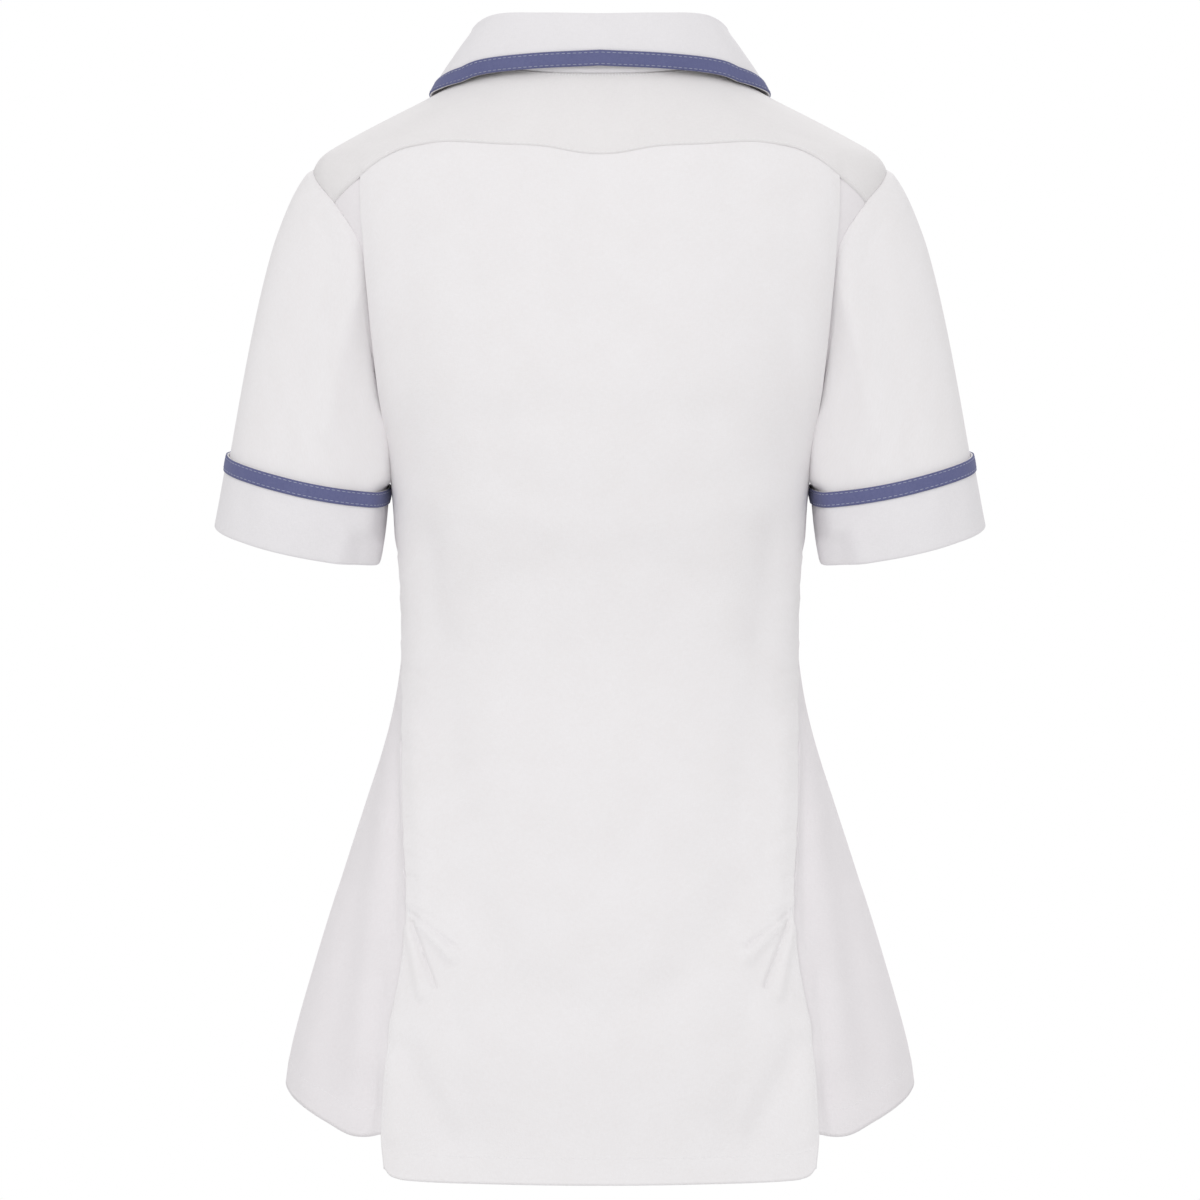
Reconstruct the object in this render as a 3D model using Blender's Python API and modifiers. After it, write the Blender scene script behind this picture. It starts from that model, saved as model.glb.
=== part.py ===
"""A short-sleeved medical tunic in its worn shape, hollow and with no wearer in it.

Tables are in millimetres, the scene is in metres. +Z is up, the wearer faces -Y, +X is the wearer's left.
The origin is midway between the two places where the shoulders carry the neck end of the yoke.
Every cloth piece is a wall on one function of the figure, panel_point: its own edges, set out from it.
"""

import math

import bmesh
import bpy
from mathutils import Vector

MM = 0.001
NAME = "medical_tunic"

# Cloth
CLOTH = 1.2
FOLD_CLOTH = 1.0
TAPE_CLOTH = 1.0
GAP = 0.4
LYING = 0.6

# Action pleats
RETURN_OUT = 2.4
FOLD_OUT = 4.0

# Fronts
FRONT_OVERLAP = 15.0

# Sleeves, left one
CUFF_DEPTH = 47.0
CUFF_TAPE = 10.0
HEM_CENTRE = Vector((198.0, -4.0, -289.0))
SLEEVE_AXIS = Vector((0.205, -0.17, -0.965)).normalized()
HEM_HALF_ACROSS = 53.5
HEM_HALF_DEEP = 49.0

# Collar
COLLAR_TAPE = 10.0

BODY_COLUMNS = ("z", "half_width", "back", "front", "squareness")
BODY = (
    (-700.0, 211.0, 136.0, 142.0, 2.2),
    (-642.0, 204.2, 131.0, 137.0, 2.2),
    (-616.0, 200.0, 128.0, 134.0, 2.2),
    (-563.0, 185.1, 119.0, 128.0, 2.2),
    (-511.0, 168.8, 108.0, 121.0, 2.2),
    (-458.0, 151.7, 97.0, 113.0, 2.2),
    (-432.0, 143.2, 91.5, 109.0, 2.2),
    (-406.0, 136.0, 86.0, 105.0, 2.2),
    (-380.0, 130.9, 82.0, 102.0, 2.2),
    (-354.0, 128.3, 81.0, 101.5, 2.2),
    (-327.0, 128.3, 84.0, 105.0, 2.2),
    (-290.0, 130.6, 92.0, 116.0, 2.2),
    (-260.0, 132.5, 98.0, 123.0, 2.2),
    (-235.0, 136.0, 102.0, 126.0, 2.2),
    (-215.0, 141.0, 104.0, 126.0, 2.2),
    (-190.0, 150.0, 105.0, 123.0, 2.2),
    (-150.0, 160.0, 102.0, 113.0, 2.2),
    (-100.0, 172.0, 94.0, 98.0, 2.2),
    (-71.0, 182.0, 87.0, 89.0, 2.2),
    (-50.0, 187.0, 82.0, 81.0, 2.2),
    (-38.0, 181.0, 78.0, 76.0, 2.2),
    (-26.0, 161.5, 74.0, 70.0, 2.15),
    (-13.0, 137.0, 69.0, 64.0, 2.1),
    (0.0, 111.5, 63.0, 57.0, 2.1),
    (12.0, 91.5, 57.0, 49.0, 2.05),
    (26.0, 69.0, 47.0, 40.0, 2.0),
)

# The armhole, as turn round the figure in degrees from centre back and height.
ARMHOLE_COLUMNS = ("turn", "z")
ARMHOLE = (
    (90.0, -215.0),
    (80.0, -206.0),
    (73.5, -190.0),
    (67.6, -153.0),
    (62.3, -100.0),
    (69.0, -70.5),
    (80.0, -53.5),
    (90.0, -46.0),
    (103.0, -52.0),
    (114.0, -71.0),
    (121.0, -100.0),
    (121.0, -153.0),
    (109.0, -190.0),
    (99.0, -206.0),
)
YOKE_END_BACK = 5
YOKE_END_FRONT = 8

# Seams of the back, as distance from the centre line and height.
YOKE_SEAM = ((0.0, -41.7), (37.0, -36.4), (66.0, -34.8), (99.0, -32.8), (119.5, -35.4), (129.4, -38.4),
             (154.0, -54.2), (171.3, -69.6))
FOLD_LINE = ((152.5, -54.2), (149.5, -104.0), (144.5, -153.0), (140.0, -192.0), (134.0, -231.0),
             (129.8, -268.0), (126.6, -327.0), (125.6, -354.0), (125.2, -380.0), (124.4, -426.0),
             (122.8, -491.0), (121.6, -529.0), (124.6, -560.0), (131.0, -595.0), (135.5, -631.0),
             (138.0, -672.0), (136.5, -690.0))
TAIL_HEM = ((-1.0, -690.0), (-0.97, -694.6), (-0.9, -696.9), (-0.5, -697.8), (0.0, -698.2), (0.5, -697.8),
            (0.9, -696.9), (0.97, -694.6), (1.0, -690.0))
NECK_BACK = ((0.0, 12.4), (30.0, 13.2), (52.0, 15.6), (66.0, 19.0), (73.0, 22.6))
NECK_FRONT = ((73.0, 22.6), (73.5, 17.0), (70.0, 2.0), (60.0, -22.0), (45.0, -48.0), (27.0, -70.0), (10.0, -86.0))
YOKE_FRONT_NECK_Z = 12.0

# Side hem, as turn in degrees and height.
SIDE_HEM = ((30.0, -677.0), (45.0, -669.0), (60.0, -659.0), (75.0, -649.0), (90.0, -641.5), (115.0, -644.0),
            (145.0, -652.0), (180.0, -656.0))

# Collar, from the centre back round to its front end.
COLLAR_COLUMNS = ("neck", "roll_x", "roll_y", "roll_z", "edge_x", "edge_y", "edge_z")
COLLAR = (
    (0.00, 0.0, 57.0, 50.9, 0.0, 62.0, 17.3),
    (0.14, 38.0, 52.5, 51.8, 44.0, 55.5, 15.6),
    (0.28, 67.0, 37.0, 52.2, 78.0, 39.5, 12.9),
    (0.38, 81.0, 15.0, 46.5, 96.0, 24.0, 7.0),
    (0.47, 82.0, -8.0, 38.5, 109.0, 6.0, 4.0),
    (0.58, 75.0, -34.0, 23.0, 109.5, -26.0, -2.0),
    (0.70, 62.0, -57.0, 2.0, 102.0, -58.0, -25.0),
    (0.84, 43.0, -78.0, -28.0, 84.0, -84.0, -70.0),
    (0.99, 18.0, -94.0, -68.0, 57.0, -104.0, -122.0),
)


def between(rows, column, at, value):
    """A cubic through the rows, with slopes taken from the rows on both sides."""
    last = len(rows) - 1
    low = 0
    while low < last - 1 and at > rows[low + 1][column]:
        low += 1
    before = rows[max(low - 1, 0)]
    start = rows[low]
    end = rows[low + 1]
    after = rows[min(low + 2, last)]
    span = end[column] - start[column]
    share = (at - start[column]) / span
    share = min(max(share, -0.5), 1.5)
    slope_start = (end[value] - before[value]) / (end[column] - before[column]) * span
    slope_end = (after[value] - start[value]) / (after[column] - start[column]) * span
    square = share * share
    cube = square * share
    return (
        (2 * cube - 3 * square + 1) * start[value]
        + (cube - 2 * square + share) * slope_start
        + (3 * square - 2 * cube) * end[value]
        + (cube - square) * slope_end
    )


def of_body(column, z):
    return between(BODY, 0, z, BODY_COLUMNS.index(column))


def signed_power(value, power):
    return math.copysign(abs(value) ** power, value)


def figure(turn, z):
    """The figure's surface: turn in radians from centre back toward +X."""
    power = 2.0 / of_body("squareness", z)
    depth = of_body("back", z) if math.cos(turn) > 0 else of_body("front", z)
    return Vector((
        of_body("half_width", z) * signed_power(math.sin(turn), power),
        depth * signed_power(math.cos(turn), power),
        z,
    ))


def outward(turn, z):
    across = figure(turn + 0.02, z) - figure(turn - 0.02, z)
    up = figure(turn, z + 1.0) - figure(turn, z - 1.0)
    return up.cross(across).normalized()


def panel_point(turn, z, out):
    return figure(turn, z) + outward(turn, z) * out


def turn_at(x, z, front=False):
    ratio = min(abs(x) / of_body("half_width", z), 1.0)
    turn = math.asin(ratio ** (of_body("squareness", z) / 2.0))
    if front:
        turn = math.pi - turn
    return math.copysign(turn, x) if x else turn


class Line:
    """A smooth line on the figure through (turn, z) points, run along by its length."""

    def __init__(self, points):
        lengths = [0.0]
        for a, b in zip(points, points[1:]):
            lengths.append(lengths[-1] + max((figure(*b) - figure(*a)).length, 0.01))
        self.total = lengths[-1]
        self.rows = [(length / self.total, *point) for length, point in zip(lengths, points)]

    def at(self, share):
        return (between(self.rows, 0, share, 1), between(self.rows, 0, share, 2))


class Chain:
    """Lines that meet at corners, each with its share of the whole."""

    def __init__(self, *parts):
        self.parts = parts

    def at(self, share):
        start = 0.0
        for line, part in self.parts:
            if share <= start + part + 1e-9:
                return line.at((share - start) / part)
            start += part
        return self.parts[-1][0].at(1.0)


class Piece:
    """A part of another line, from one share of it to another."""

    def __init__(self, line, start, end):
        self.line = line
        self.start = start
        self.end = end

    def at(self, share):
        return self.line.at(self.start + (self.end - self.start) * share)


def patch(top, bottom, left, right, u, v):
    """Coons patch of four lines on the figure: u across, v down."""
    corners = (top.at(0.0), top.at(1.0), bottom.at(0.0), bottom.at(1.0))
    edges = (top.at(u), bottom.at(u), left.at(v), right.at(v))
    result = []
    for axis in (0, 1):
        ruled = (1 - v) * edges[0][axis] + v * edges[1][axis]
        ruled += (1 - u) * edges[2][axis] + u * edges[3][axis]
        ruled -= (1 - v) * ((1 - u) * corners[0][axis] + u * corners[1][axis])
        ruled -= v * ((1 - u) * corners[2][axis] + u * corners[3][axis])
        result.append(ruled)
    return result


def moved(line_points, up):
    return [(turn, z + up) for turn, z in line_points]


def side_hem(turn):
    rows = [(math.radians(degrees), z) for degrees, z in SIDE_HEM]
    return between(rows, 0, turn, 1)


def half_of(points):
    """The +X half of a line that is level where it crosses centre back."""
    both = [(-turn, z) for turn, z in reversed(points[1:])] + points
    return Piece(Line(both), 0.5, 1.0)


ARM_LOOP = Line([(math.radians(turn), z) for turn, z in (*ARMHOLE, ARMHOLE[0])])
ARM_BACK = ARM_LOOP.rows[YOKE_END_BACK][0]
ARM_FRONT = ARM_LOOP.rows[YOKE_END_FRONT][0]
YOKE_LINE_POINTS = [(turn_at(x, z), z) for x, z in YOKE_SEAM]
NECK_POINTS = [(turn_at(x, z), z) for x, z in NECK_BACK[:-1]]
NECK_POINTS.append((math.pi / 2, NECK_BACK[-1][1]))
NECK_POINTS += [(turn_at(x, z, True), z) for x, z in NECK_FRONT[1:]]
NECK = half_of(NECK_POINTS)


def share_at_z(line, z, start, end):
    """Where a line passes a height, between two shares with the height between theirs."""
    falling = line.at(start)[1] > line.at(end)[1]
    for _ in range(40):
        middle = (start + end) / 2
        if (line.at(middle)[1] > z) == falling:
            start = middle
        else:
            end = middle
    return (start + end) / 2


NECK_AT_YOKE = share_at_z(NECK, YOKE_FRONT_NECK_Z, 0.45, 1.0)


# Pieces of cloth


def cloth(name, across, down, place, thick, material, joined=False):
    """A wall on a grid: place gives its middle, in millimetres, from shares across and down."""
    mesh = bmesh.new()
    bmesh.ops.create_grid(mesh, x_segments=across, y_segments=down, size=1.0)
    for vertex in mesh.verts:
        u = (vertex.co.x + 1.0) / 2.0
        v = (vertex.co.y + 1.0) / 2.0
        vertex.co = place(u, v) * MM
    if joined:
        bmesh.ops.remove_doubles(mesh, verts=mesh.verts, dist=0.00005)
    data = bpy.data.meshes.new(name)
    mesh.to_mesh(data)
    mesh.free()
    data.materials.append(material)
    piece = bpy.data.objects.new(name, data)
    PARTS.objects.link(piece)
    wall = piece.modifiers.new("wall", "SOLIDIFY")
    wall.thickness = thick * MM
    wall.offset = 0.0
    wall.use_even_offset = True
    wall.use_quality_normals = True
    return piece


def mirrored(place, side):
    """The same place for the wearer's left at side 1 and right at side -1."""

    def other(u, v):
        point = place(u, v)
        return Vector((point.x * side, point.y, point.z))

    return other


BACK_ROWS = 30
SIDE_ROWS = 29
FROM_FOLD = (0.0, 9.0, 18.0, 28.0, 40.0, 52.0)
BACK_MIDDLE = 6
BACK_FLAT = len(FROM_FOLD) - 1 + BACK_MIDDLE
BACK_TURN = 3
BACK_RETURN = 2
BACK_ACROSS = BACK_FLAT + BACK_TURN + BACK_RETURN
SIDE_ARM_SHARE = 8 / SIDE_ROWS
SEAM_GAP = 0.7


def rise_to_fold(distance):
    share = min(max((50.0 - distance) / 18.0, 0.0), 1.0)
    return CLOTH / 2 + (FOLD_OUT - CLOTH / 2) * share * share * (3 - 2 * share)


class BackPanel:
    """The centre back on the figure, from the yoke seam to the tail hem between its two folds."""

    def __init__(self):
        top_points = [(turn_at(x, z), z) for x, z in YOKE_SEAM[:6]]
        top_x, top_z = FOLD_LINE[0]
        top_points.append((turn_at(top_x, top_z), top_z))
        mirror = [(-turn, z) for turn, z in reversed(top_points[1:])]
        self.top = Line(moved(mirror + top_points, -SEAM_GAP / 2))
        last_x = FOLD_LINE[-1][0]
        self.bottom = Line([(turn_at(share * last_x, z), z) for share, z in TAIL_HEM])
        fold = [(turn_at(x, z), z) for x, z in FOLD_LINE]
        fold[0] = self.top.at(1.0)
        self.fold = Line(fold)
        self.other_fold = Line([(-turn, z) for turn, z in fold])
        self.widths = {}

    def at(self, flat, v):
        """A place at a share of the way from the centre line to the fold, v of the way down."""
        return patch(self.top, self.bottom, self.other_fold, self.fold, 0.5 + flat / 2, v)

    def width(self, v):
        key = round(v, 6)
        if key not in self.widths:
            points = [figure(*self.at(step / 12, v)) for step in range(13)]
            self.widths[key] = sum((b - a).length for a, b in zip(points, points[1:]))
        return self.widths[key]

    def from_fold(self, distance, v):
        return self.at(1.0 - distance / self.width(v), v)


def back_centre_place():
    panel = BackPanel()

    def place(u, v):
        step = (u - 0.5) * 2 * BACK_ACROSS
        side = -1 if step < 0 else 1
        step = abs(step)
        if step <= BACK_MIDDLE + 1e-6:
            edge = 1.0 - FROM_FOLD[-1] / panel.width(v)
            distance = FROM_FOLD[-1] + (1 - step / BACK_MIDDLE) * edge * panel.width(v)
            turn, z = panel.at(edge * step / BACK_MIDDLE, v)
        elif step <= BACK_FLAT + 1e-6:
            distance = FROM_FOLD[BACK_FLAT - round(step)]
            turn, z = panel.from_fold(distance, v)
        if step <= BACK_FLAT + 1e-6:
            point = panel_point(turn, z, rise_to_fold(distance))
            return Vector((point.x * side, point.y, point.z))
        turn, z = panel.at(1.0, v)
        across = (figure(turn + 0.02, z) - figure(turn, z)).normalized()
        normal = outward(turn, z)
        middle = (FOLD_OUT + RETURN_OUT) / 2
        radius = (FOLD_OUT - RETURN_OUT) / 2
        if step <= BACK_FLAT + BACK_TURN + 1e-6:
            angle = math.pi / 2 - math.pi * (step - BACK_FLAT) / BACK_TURN
            point = figure(turn, z) + across * radius * math.cos(angle)
            point = point + normal * (middle + radius * math.sin(angle))
        else:
            distance = (step - BACK_FLAT - BACK_TURN) * FROM_FOLD[1]
            turn, z = panel.from_fold(distance, v)
            point = panel_point(turn, z, RETURN_OUT)
        return Vector((point.x * side, point.y, point.z))

    return place


UNDER_COLUMNS = 3
SIDE_COLUMNS = 5


def side_back_place():
    panel = BackPanel()
    share_of_rows = SIDE_ROWS / BACK_ROWS
    corner = (turn_at(*YOKE_SEAM[-1]), YOKE_SEAM[-1][1] - SEAM_GAP / 2)
    start = panel.at(1.0, 0.0)
    top = Line([start, ((start[0] + corner[0]) / 2, (start[1] + corner[1]) / 2), corner])
    left = Line([tuple(panel.at(1.0, share_of_rows * step / 40)) for step in range(41)])
    inner_hem = left.at(1.0)
    hem = [inner_hem]
    for step in range(1, 7):
        turn = inner_hem[0] + (math.pi / 2 - inner_hem[0]) * step / 6
        hem.append((turn - (0.002 if step == 6 else 0.0), side_hem(turn)))
    bottom = Line(hem)
    arm = [ARM_LOOP.at(ARM_BACK * (1 - share / 8)) for share in range(9)]
    arm[0] = corner
    low = ARMHOLE[0][1]
    end = bottom.at(1.0)
    arm[-1] = (end[0], low)
    side_seam = Line([(end[0], low + (end[1] - low) * share / 10) for share in range(11)])
    right = Chain((Line(arm), SIDE_ARM_SHARE), (side_seam, 1 - SIDE_ARM_SHARE))

    def place(u, v):
        column = round(u * (UNDER_COLUMNS + SIDE_COLUMNS))
        if column <= UNDER_COLUMNS:
            turn, z = panel.from_fold(FROM_FOLD[UNDER_COLUMNS - column], v * share_of_rows)
            z -= SEAM_GAP * (1 - v)
        else:
            turn, z = patch(top, bottom, left, right, (column - UNDER_COLUMNS) / SIDE_COLUMNS, v)
        return panel_point(turn, z, CLOTH / 2)

    return place


FRONT_ROWS = 28
FRONT_ARM_SHARE = 9 / FRONT_ROWS
FRONT_NECK_SHARE = 6 / FRONT_ROWS
YOKE_HALF = 16
YOKE_ARM_SHARE = 4 / YOKE_HALF


def yoke_place():
    seam = half_of(moved(YOKE_LINE_POINTS, SEAM_GAP / 2))
    arm = Piece(ARM_LOOP, ARM_BACK, ARM_FRONT)
    bottom = Chain((seam, 1 - YOKE_ARM_SHARE), (arm, YOKE_ARM_SHARE))
    top = Piece(NECK, 0.0, NECK_AT_YOKE)
    centre = Line([bottom.at(0.0), top.at(0.0)])
    start = bottom.at(1.0)
    end = top.at(1.0)
    front = Line([
        (start[0] + (end[0] - start[0]) * share / 4, start[1] + (end[1] - start[1]) * share / 4)
        for share in range(5)
    ])

    def place(u, v):
        side = -1 if u < 0.5 else 1
        turn, z = patch(bottom, top, centre, front, abs(2 * u - 1), v)
        point = panel_point(turn, z, CLOTH / 2)
        return Vector((point.x * side, point.y, point.z))

    return place


def front_place(side):
    gap = math.radians(0.25)
    start = ARM_LOOP.at(ARM_FRONT)
    end = NECK.at(NECK_AT_YOKE)
    top = Line([
        (start[0] + (end[0] - start[0]) * share / 4 + gap, start[1] + (end[1] - start[1]) * share / 4 - 0.3)
        for share in range(5)
    ])
    arm_points = [ARM_LOOP.at(ARM_FRONT + (1 - ARM_FRONT) * share / 8) for share in range(9)]
    arm_points[0] = top.at(0.0)
    arm = Line(arm_points)
    hem_z = side_hem(math.pi / 2)
    low = ARMHOLE[0][1]
    seam_turn = math.pi / 2 + 0.002
    arm_points[-1] = (seam_turn, low)
    side_seam = Line([(seam_turn, low + (hem_z - low) * share / 10) for share in range(11)])
    left = Chain((arm, FRONT_ARM_SHARE), (side_seam, 1 - FRONT_ARM_SHARE))
    neck_points = [NECK.at(NECK_AT_YOKE + (1 - NECK_AT_YOKE) * share / 8) for share in range(9)]
    neck_points[0] = top.at(1.0)
    neck_z = neck_points[-1][1]
    centre_hem = side_hem(math.pi)

    def centre_turn(z):
        return math.pi + turn_at(FRONT_OVERLAP, z)

    neck_points.append((centre_turn(neck_z - 8), neck_z - 6))
    neck = Line(neck_points)
    centre = Line([
        (centre_turn(neck_z - 6 + (centre_hem - neck_z + 6) * share / 10),
         neck_z - 6 + (centre_hem - neck_z + 6) * share / 10)
        for share in range(11)
    ])
    right = Chain((neck, FRONT_NECK_SHARE), (centre, 1 - FRONT_NECK_SHARE))
    hem_end = centre.at(1.0)
    hem_points = []
    for share in range(9):
        turn = seam_turn + (hem_end[0] - seam_turn) * share / 8
        hem_points.append((turn, side_hem(min(turn, math.pi))))
    hem_points[-1] = hem_end
    bottom = Line(hem_points)

    def place(u, v):
        turn, z = patch(top, bottom, left, right, u, v)
        out = CLOTH / 2
        if side > 0:
            reach = (turn - math.pi) * of_body("half_width", z) + 34.0
            share = min(max(reach / 16.0, 0.0), 1.0)
            out -= (CLOTH + LYING) * share * share * (3 - 2 * share)
        return panel_point(turn, z, out)

    return mirrored(place, side)


# Sleeves


def hem_ring(share):
    """The sleeve's hem: 0 under the arm, 0.25 at the back, 0.5 outside, 0.75 at the front."""
    out_axis = Vector((0.978, 0.0, 0.208)).normalized()
    back_axis = SLEEVE_AXIS.cross(out_axis).normalized()
    if back_axis.y < 0:
        back_axis = -back_axis
    angle = 2 * math.pi * share
    return (
        HEM_CENTRE
        - out_axis * HEM_HALF_ACROSS * math.cos(angle)
        + back_axis * HEM_HALF_DEEP * math.sin(angle)
    )


def sleeve_middle(share, down):
    """The middle of the sleeve's cloth: share round it, down from the armhole at 0 to the hem at 1."""
    turn, z = ARM_LOOP.at(share % 1.0)
    start = panel_point(turn, z, CLOTH * 1.5 + GAP)
    end = hem_ring(share)
    angle = 2 * math.pi * share
    outer = (1 - math.cos(angle)) / 2
    backward = math.sin(angle)
    leave = Vector((
        -14.0 + 110.0 * outer,
        20.0 * backward,
        -80.0 - 10.0 * outer - 15.0 * backward * backward,
    ))
    arrive = SLEEVE_AXIS * (80.0 + 120.0 * outer)
    square = down * down
    cube = square * down
    return (
        start * (2 * cube - 3 * square + 1)
        + leave * (cube - 2 * square + down)
        + end * (3 * square - 2 * cube)
        + arrive * (cube - square)
    )


def sleeve_point(share, down, out):
    around = sleeve_middle(share + 0.01, down) - sleeve_middle(share - 0.01, down)
    low = min(down + 0.01, 1.0)
    along = sleeve_middle(share, low) - sleeve_middle(share, low - 0.02)
    normal = around.cross(along).normalized()
    return sleeve_middle(share, down) + normal * out


def down_from_hem(share, distance):
    """How far down the sleeve a place is that lies this many millimetres above the hem."""
    low, high = 0.0, 1.0
    end = sleeve_middle(share, 1.0)
    for _ in range(30):
        middle = (low + high) / 2
        if (sleeve_middle(share, middle) - end).length > distance:
            low = middle
        else:
            high = middle
    return (low + high) / 2


SLEEVE_ROUND = 30
SLEEVE_DOWN = 9
CUFF_DOWN = 3
TAPE_DOWN = 1


def sleeve_place(u, v):
    return sleeve_point(u, v, 0.0)


def cuff_place(u, v):
    top = down_from_hem(u, CUFF_DEPTH)
    return sleeve_point(u, top + (1.0 - top) * v, CUFF_OUT)


def cuff_tape_place(u, v):
    top = down_from_hem(u, CUFF_DEPTH)
    low = down_from_hem(u, CUFF_DEPTH - CUFF_TAPE)
    return sleeve_point(u, top + (low - top) * v, CUFF_OUT + CLOTH / 2 + GAP + TAPE_CLOTH / 2)


CUFF_OUT = CLOTH + LYING


# Collar


def of_collar(column, share):
    return between(COLLAR, 0, share, COLLAR_COLUMNS.index(column))


def beyond_body(point):
    """How far outside the figure a point is, as a share of the figure's size; negative inside."""
    z = min(point.z, 26.0)
    half = of_body("half_width", z)
    depth = of_body("back" if point.y > 0 else "front", z)
    power = of_body("squareness", z)
    return (abs(point.x / half) ** power + abs(point.y / depth) ** power) ** (1 / power) - 1


def clear_of_body(point, gap):
    """The point, moved straight out from the figure where it is less than this far above it."""
    if point.z > 25.0:
        return point
    for _ in range(4):
        here = beyond_body(point)
        slope = Vector((
            beyond_body(point + Vector((0.5, 0.0, 0.0))) - here,
            beyond_body(point + Vector((0.0, 0.5, 0.0))) - here,
            beyond_body(point + Vector((0.0, 0.0, 0.5))) - here,
        )) * 2.0
        distance = here / slope.length
        if distance < gap:
            point = point + slope.normalized() * (gap - distance)
    return point


COLLAR_ALONG = 34
COLLAR_ROWS = 10


def collar_profile(share):
    """The collar's section: from the neck seam up the stand, over the roll and down to its edge."""
    turn, z = NECK.at(share)
    seam = panel_point(turn, z, CLOTH * 1.5 + GAP)
    roll = Vector((of_collar("roll_x", share), of_collar("roll_y", share), of_collar("roll_z", share)))
    edge = Vector((of_collar("edge_x", share), of_collar("edge_y", share), of_collar("edge_z", share)))
    edge = clear_of_body(edge, 3.0)
    away = edge - roll
    away = Vector((away.x, away.y, 0.0)).normalized()
    stand = roll - seam
    width = 2.4
    inner = roll - away * width - stand.normalized() * 3.0
    outer = roll + away * width - Vector((0.0, 0.0, 2.6))
    fall = edge - outer
    bow = away * (0.10 * fall.length)
    points = [seam]
    points.append(seam.lerp(inner, 0.5))
    points.append(inner)
    points.append(roll - away * 1.5 - stand.normalized() * 0.7)
    points.append(roll + away * 1.0)
    points.append(outer)
    tape_start = 1 - COLLAR_TAPE / fall.length
    for step in (tape_start * 0.35, tape_start * 0.7, tape_start):
        place = outer + fall * step + bow * math.sin(math.pi * step)
        points.append(clear_of_body(place, 3.0))
    points.append(edge)
    return points


def collar_half(share, v):
    points = collar_profile(share)
    step = v * (len(points) - 1)
    low = min(int(step + 1e-6), len(points) - 2)
    return points[low].lerp(points[low + 1], step - low)


def collar_place(u, v):
    side = -1 if u < 0.5 else 1
    point = collar_half(abs(2 * u - 1) * COLLAR_END, v)
    return Vector((point.x * side, point.y, point.z))


COLLAR_END = 0.97


def collar_tape_place(u, v):
    side = -1 if u < 0.5 else 1
    share = abs(2 * u - 1) * COLLAR_END
    points = collar_profile(share)
    point = points[-2].lerp(points[-1], v)
    near = collar_profile(max(share - 0.01, 0.0))
    far = collar_profile(share + 0.01)
    along = far[-1] - near[-1]
    if share < 0.01:
        along = Vector((1.0, 0.0, 0.0))
    normal = along.cross(points[-1] - points[-2]).normalized()
    if normal.dot(Vector((point.x, point.y, 40.0))) < 0:
        normal = -normal
    point = point + normal * (CLOTH / 2 + GAP + TAPE_CLOTH / 2)
    return Vector((point.x * side, point.y, point.z))


# Materials


def fabric(name, colour, roughness):
    material = bpy.data.materials.new(name)
    material.use_nodes = True
    shader = material.node_tree.nodes["Principled BSDF"]
    shader.inputs["Base Color"].default_value = (*colour, 1.0)
    shader.inputs["Roughness"].default_value = roughness
    shader.inputs["Metallic"].default_value = 0.0
    return material


for old in list(bpy.data.objects):
    bpy.data.objects.remove(old)

PARTS = bpy.data.collections.new(NAME)
bpy.context.scene.collection.children.link(PARTS)

WHITE = fabric("white_cloth", (0.84, 0.83, 0.84), 0.9)
SHADE = fabric("white_cloth_under", (0.76, 0.75, 0.76), 0.9)
BLUE = fabric("blue_tape", (0.115, 0.13, 0.285), 0.8)

cloth("back_centre", 2 * BACK_ACROSS, BACK_ROWS, back_centre_place(), FOLD_CLOTH, WHITE)
cloth("yoke", 2 * YOKE_HALF, 6, yoke_place(), CLOTH, WHITE)
for label, side in (("L", 1), ("R", -1)):
    cloth("side_back_" + label, UNDER_COLUMNS + SIDE_COLUMNS, SIDE_ROWS, mirrored(side_back_place(), side), CLOTH, SHADE)
    cloth("front_" + label, 12, FRONT_ROWS, front_place(side), CLOTH, WHITE)
    cloth("sleeve_" + label, SLEEVE_ROUND, SLEEVE_DOWN, mirrored(sleeve_place, side), CLOTH, WHITE, joined=True)
    cloth("cuff_" + label, SLEEVE_ROUND, CUFF_DOWN, mirrored(cuff_place, side), CLOTH, WHITE, joined=True)
    cloth("cuff_tape_" + label, SLEEVE_ROUND, TAPE_DOWN, mirrored(cuff_tape_place, side), TAPE_CLOTH, BLUE,
          joined=True)
cloth("collar", COLLAR_ALONG, COLLAR_ROWS - 1, collar_place, CLOTH, WHITE)
cloth("collar_tape", COLLAR_ALONG, 1, collar_tape_place, TAPE_CLOTH, BLUE)
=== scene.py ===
"""Looks of the medical tunic: thin cloth shells of the solids' form, with seams, stitches and weave.

Tables are in millimetres in the CAD frame: +Z up, +Y out of the back, +X to the wearer's left.
"""

import math

import bpy
import numpy as np
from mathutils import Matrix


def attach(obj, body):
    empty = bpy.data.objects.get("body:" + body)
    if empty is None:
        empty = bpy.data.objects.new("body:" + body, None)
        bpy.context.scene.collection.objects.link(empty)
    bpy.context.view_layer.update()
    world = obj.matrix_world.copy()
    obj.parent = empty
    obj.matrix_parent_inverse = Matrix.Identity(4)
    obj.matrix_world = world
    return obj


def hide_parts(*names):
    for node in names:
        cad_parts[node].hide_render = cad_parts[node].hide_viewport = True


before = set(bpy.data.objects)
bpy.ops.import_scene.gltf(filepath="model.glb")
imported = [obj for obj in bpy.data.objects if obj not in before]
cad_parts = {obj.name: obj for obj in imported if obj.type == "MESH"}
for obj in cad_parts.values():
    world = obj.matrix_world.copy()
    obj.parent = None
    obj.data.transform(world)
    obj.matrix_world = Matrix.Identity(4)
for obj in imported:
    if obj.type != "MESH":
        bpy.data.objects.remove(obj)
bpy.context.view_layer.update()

MM = 0.001
# Step round the figure, in radians, over which directions along it are taken
TURN_STEP = 0.02

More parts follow.
